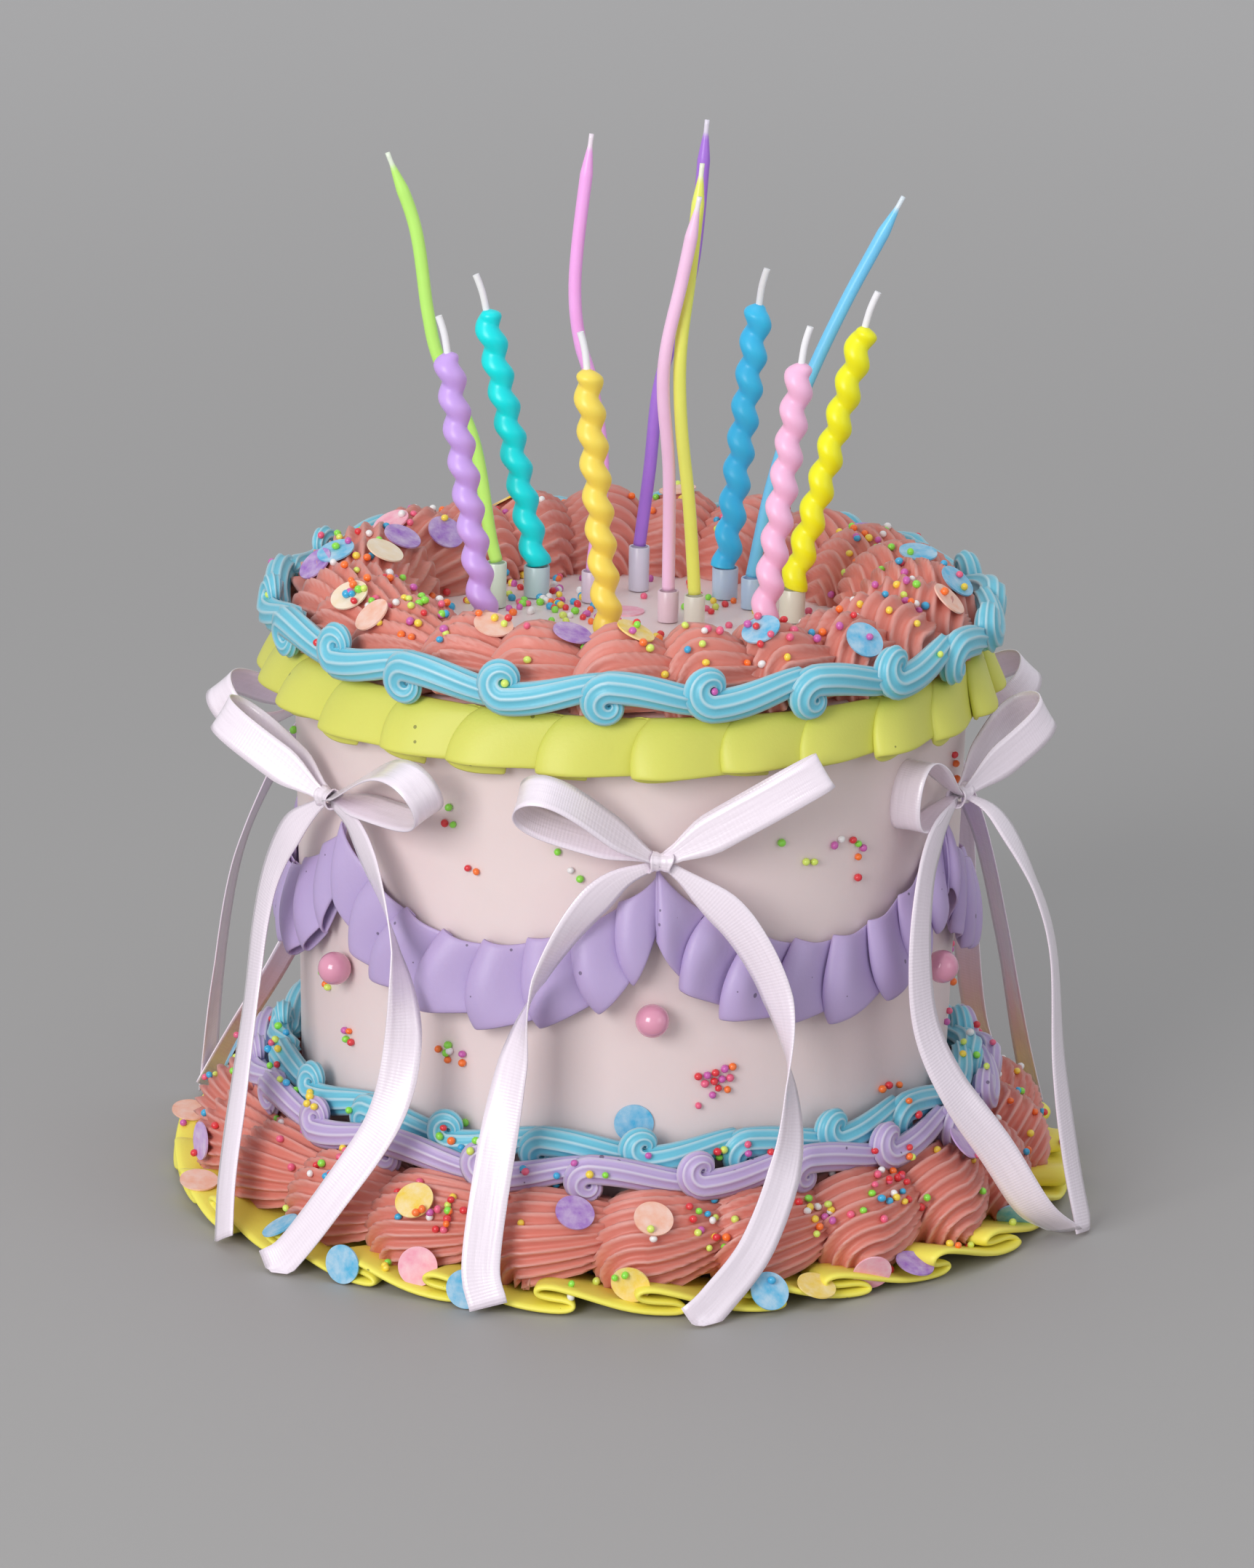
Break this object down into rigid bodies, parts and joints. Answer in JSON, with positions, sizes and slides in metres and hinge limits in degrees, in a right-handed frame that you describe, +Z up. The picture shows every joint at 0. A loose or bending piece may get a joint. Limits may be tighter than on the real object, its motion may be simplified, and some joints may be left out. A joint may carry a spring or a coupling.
{
  "type": "sprinkle cake",
  "caption": "Round party cake with piped shell borders, frills and lavender swags, satin ribbon bows, sprinkles, wafer confetti and a ring of twisted and slim candles.",
  "frame": {"origin": "middle of the cake's flat underside, on its axis", "axes": "+Z up, -Y towards the front bow, +X to the right"},
  "size_m": [0.2669, 0.2768, 0.3],
  "materials": {
    "pink_icing": "smooth satin icing",
    "yellow_icing": "smooth satin icing",
    "coral_icing": "ribbed satin icing",
    "blue_icing": "ribbed satin icing",
    "lavender_icing": "ribbed satin icing",
    "satin_ribbon": "satin weave",
    "pink_pearl": "glossy sugar pearl",
    "white_wick": "matt cotton",
    "white_holder": "translucent plastic",
    "wax_lavender": "waxy, soft shine",
    "wax_teal": "waxy, soft shine",
    "wax_orange": "waxy, soft shine",
    "wax_blue": "waxy, soft shine",
    "wax_pink": "waxy, soft shine",
    "wax_yellow": "waxy, soft shine",
    "wax_green": "waxy, soft shine",
    "wax_magenta": "waxy, soft shine",
    "wax_purple": "waxy, soft shine",
    "wax_rose": "waxy, soft shine",
    "wax_lime": "waxy, soft shine",
    "wax_sky": "waxy, soft shine"
  },
  "bodies": {
    "root": {"cake_body": "pink_icing", "yellow_ruffle_top": "yellow_icing", "yellow_ruffle_base": "yellow_icing", "coral_shells_top": "coral_icing", "coral_shells_base": "coral_icing", "blue_scroll_top": "blue_icing", "blue_scroll_base": "blue_icing", "lavender_scroll_base": "lavender_icing", "lavender_swag_1": "lavender_icing", "lavender_swag_2": "lavender_icing", "lavender_swag_3": "lavender_icing", "lavender_swag_4": "lavender_icing", "lavender_swag_5": "lavender_icing", "lavender_swag_6": "lavender_icing", "bow_front": "satin_ribbon", "bow_right": "satin_ribbon", "bow_back_right": "satin_ribbon", "bow_back": "satin_ribbon", "bow_back_left": "satin_ribbon", "bow_left": "satin_ribbon", "pearl_front": "pink_pearl", "pearl_right": "pink_pearl", "pearl_back_right": "pink_pearl", "pearl_back": "pink_pearl", "pearl_back_left": "pink_pearl", "pearl_left": "pink_pearl", "candle_spiral_lavender": "wax_lavender", "candle_spiral_teal": "wax_teal", "candle_spiral_orange": "wax_orange", "candle_spiral_blue": "wax_blue", "candle_spiral_pink": "wax_pink", "candle_spiral_yellow": "wax_yellow", "wick_lavender": "white_wick", "wick_teal": "white_wick", "wick_orange": "white_wick", "wick_blue": "white_wick", "wick_pink": "white_wick", "wick_yellow": "white_wick", "candle_thin_green": "wax_green", "candle_thin_magenta": "wax_magenta", "candle_thin_purple": "wax_purple", "candle_thin_rose": "wax_rose", "candle_thin_lime": "wax_lime", "candle_thin_sky": "wax_sky", "holder_lavender": "white_holder", "holder_teal": "white_holder", "holder_orange": "white_holder", "holder_blue": "white_holder", "holder_pink": "white_holder", "holder_yellow": "white_holder", "holder_green": "white_holder", "holder_magenta": "white_holder", "holder_purple": "white_holder", "holder_rose": "white_holder", "holder_lime": "white_holder", "holder_sky": "white_holder"}
  },
  "joints": []
}
